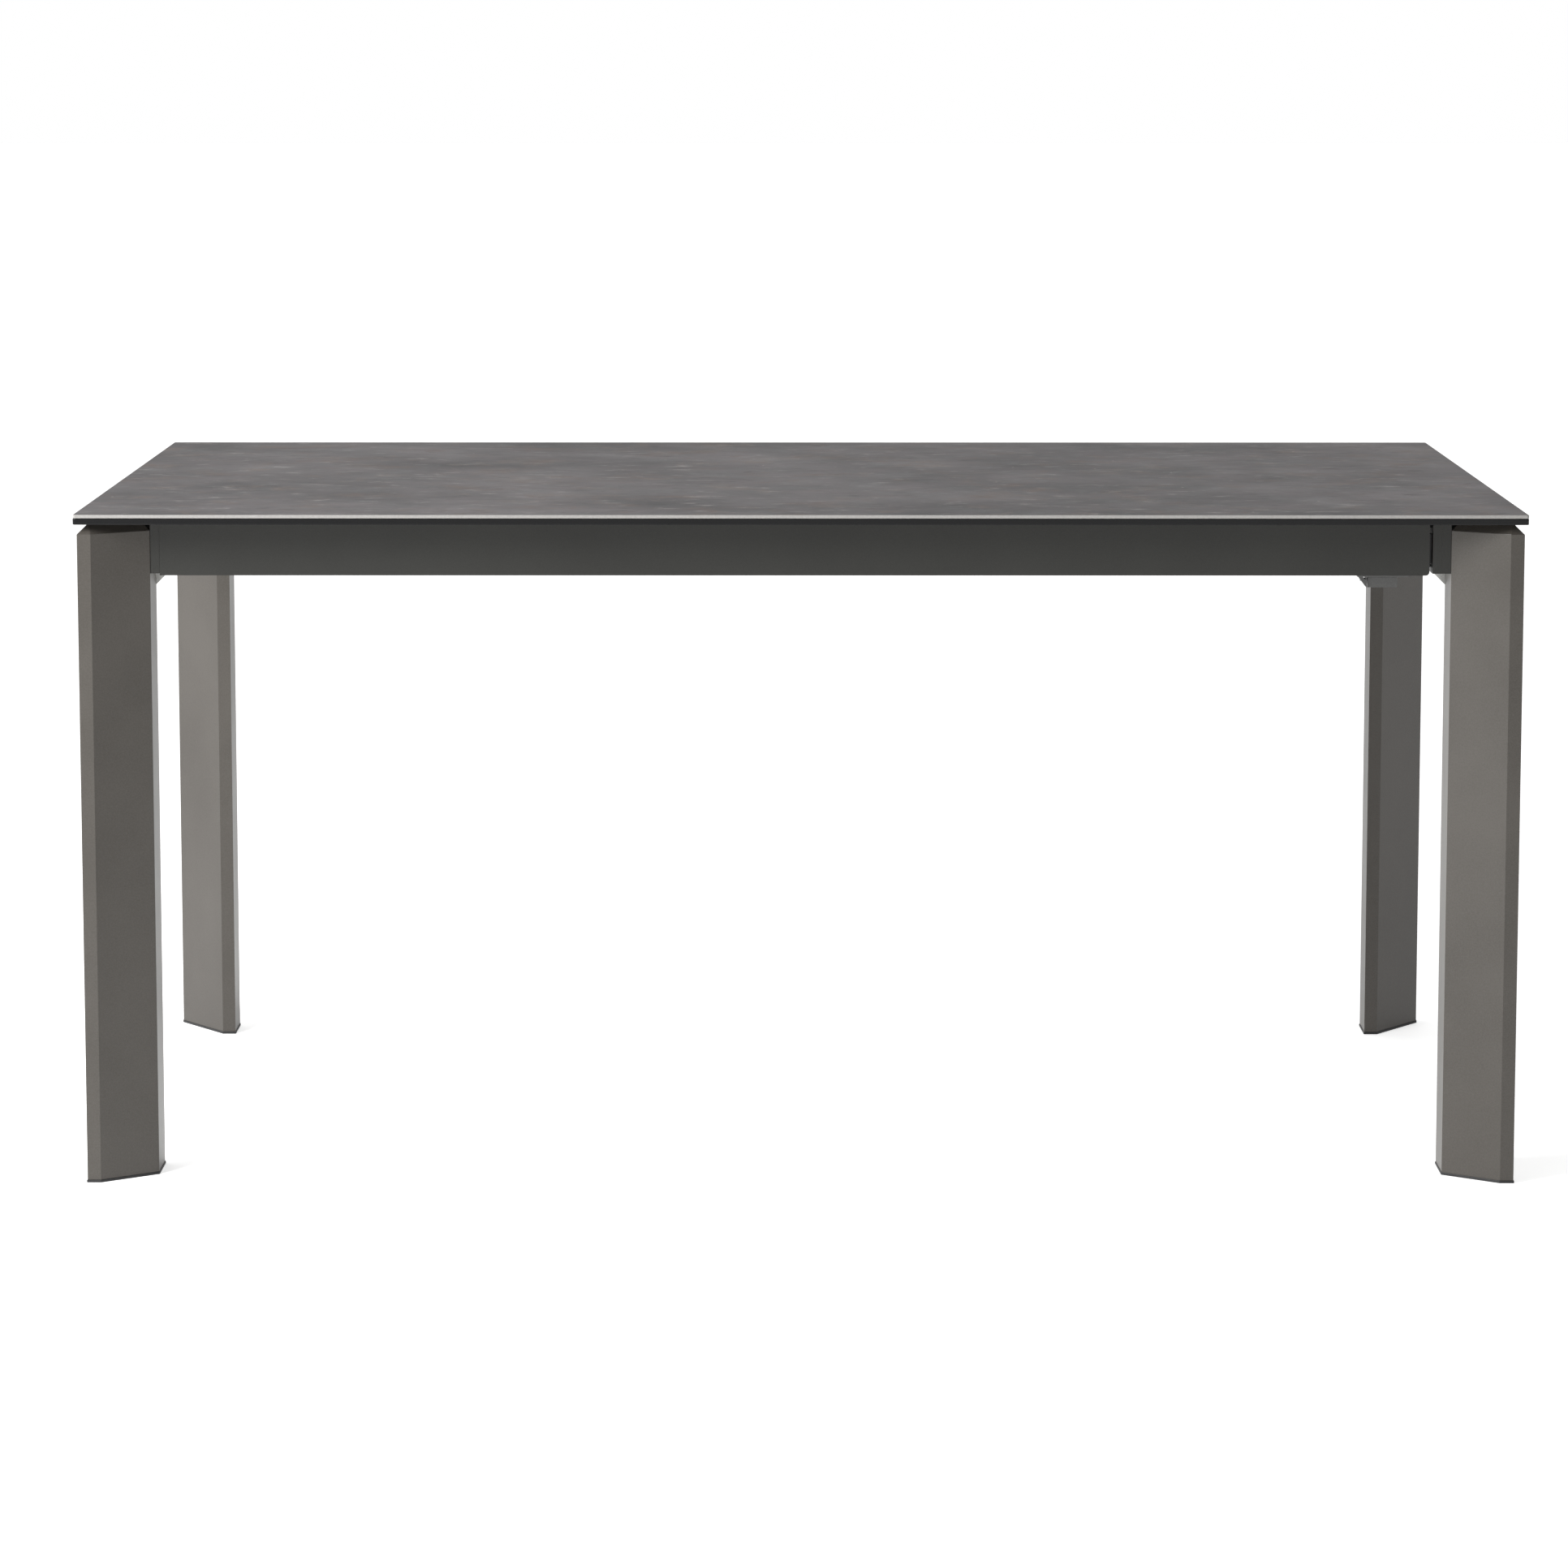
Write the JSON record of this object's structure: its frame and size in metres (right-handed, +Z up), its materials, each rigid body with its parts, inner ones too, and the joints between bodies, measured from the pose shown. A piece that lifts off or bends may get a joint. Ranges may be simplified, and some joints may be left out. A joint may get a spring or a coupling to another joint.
{
  "type": "extendable dining table",
  "caption": "Rectangular dining table with a dark ceramic-on-glass top, canted corner legs and a pull-out end that carries a folded leaf",
  "frame": {"origin": "centre of the closed table's footprint, on the floor", "axes": "+X along the length towards the pull-out end, +Y across to the back, +Z up"},
  "size_m": [1.6, 0.9, 0.75],
  "materials": {
    "ceramic_top": "satin",
    "tempered_glass": "gloss",
    "leg_paint": "satin",
    "frame_paint": "satin",
    "black_plastic": "matte",
    "lever_paint": "satin",
    "zinc_plate": "satin",
    "bare_steel": "satin",
    "black_steel": "satin",
    "white_nylon": "matte",
    "black_rubber": "matte",
    "grey_felt": "matte"
  },
  "bodies": {
    "main_frame": {"top_ceramic": "ceramic_top", "top_glass": "tempered_glass", "top_discs": "bare_steel", "top_pads": "white_nylon", "apron_front": "frame_paint", "apron_back": "frame_paint", "end_rail_fixed": "frame_paint", "end_blocks_fixed": "frame_paint", "leg_front_left": "leg_paint", "leg_back_left": "leg_paint", "leg_top_caps_fixed": "leg_paint", "foot_caps_fixed": "black_plastic", "leg_plates_fixed": "frame_paint", "nut_plates_fixed": "bare_steel", "corner_brackets_fixed": "zinc_plate", "corner_bolts_fixed": "zinc_plate", "cross_members": "frame_paint", "cross_member_screws": "zinc_plate", "guide_strip": "bare_steel", "guide_glides": "white_nylon", "outer_rail_front": "bare_steel", "outer_rail_back": "bare_steel", "outer_rail_bushes": "white_nylon", "lock_housing": "lever_paint", "lock_pin": "bare_steel", "lock_spring": "bare_steel"},
    "leg_frame": {"inner_rail_front": "black_steel", "inner_rail_back": "black_steel", "inner_bushes": "white_nylon", "leg_front_right": "leg_paint", "leg_back_right": "leg_paint", "leg_top_caps_moving": "leg_paint", "foot_caps_moving": "black_plastic", "leg_plates_moving": "frame_paint", "nut_plates_moving": "bare_steel", "corner_brackets_moving": "zinc_plate", "corner_bolts_moving": "zinc_plate", "end_rail_moving": "frame_paint", "end_rail_pads": "white_nylon", "end_blocks_moving": "frame_paint", "lock_bar": "bare_steel", "end_buffers": "black_rubber", "leaf_bearers": "bare_steel", "lift_arms": "bare_steel", "lift_arm_pins": "zinc_plate", "leaf_cradle": "bare_steel", "leaf_lower_glass": "tempered_glass", "leaf_lower_ceramic": "ceramic_top", "leaf_upper_glass": "tempered_glass", "leaf_upper_ceramic": "ceramic_top", "leaf_felts": "grey_felt", "leaf_hinges": "bare_steel", "leaf_hinge_pins": "zinc_plate"},
    "rail_middle_front": {"middle_rail_front": "black_steel", "middle_bushes_front": "white_nylon"},
    "rail_middle_back": {"middle_rail_back": "black_steel", "middle_bushes_back": "white_nylon"},
    "release_lever": {"lock_lever": "lever_paint", "brake_pad": "black_rubber"}
  },
  "joints": [
    {"name": "leg_frame_slide", "type": "slide", "parent": "main_frame", "child": "leg_frame", "axis": [1, 0, 0], "range_m": [0, 0.6]},
    {"name": "rail_middle_front_slide", "type": "slide", "parent": "main_frame", "child": "rail_middle_front", "axis": [1, 0, 0], "range_m": [0, 0.3]},
    {"name": "rail_middle_back_slide", "type": "slide", "parent": "main_frame", "child": "rail_middle_back", "axis": [1, 0, 0], "range_m": [0, 0.3]},
    {"name": "release_lever_hinge", "type": "hinge", "parent": "main_frame", "child": "release_lever", "pos_m": [0.6499, -0.37, 0.67], "axis": [-1, 0, 0], "range_deg": [0, 14], "stiffness_Nm_per_rad": 0.3, "springref_deg": -17.19}
  ],
  "couplings": [
    {"joint": "rail_middle_front_slide", "follows": "leg_frame_slide", "ratio": 0.5},
    {"joint": "rail_middle_back_slide", "follows": "leg_frame_slide", "ratio": 0.5}
  ]
}
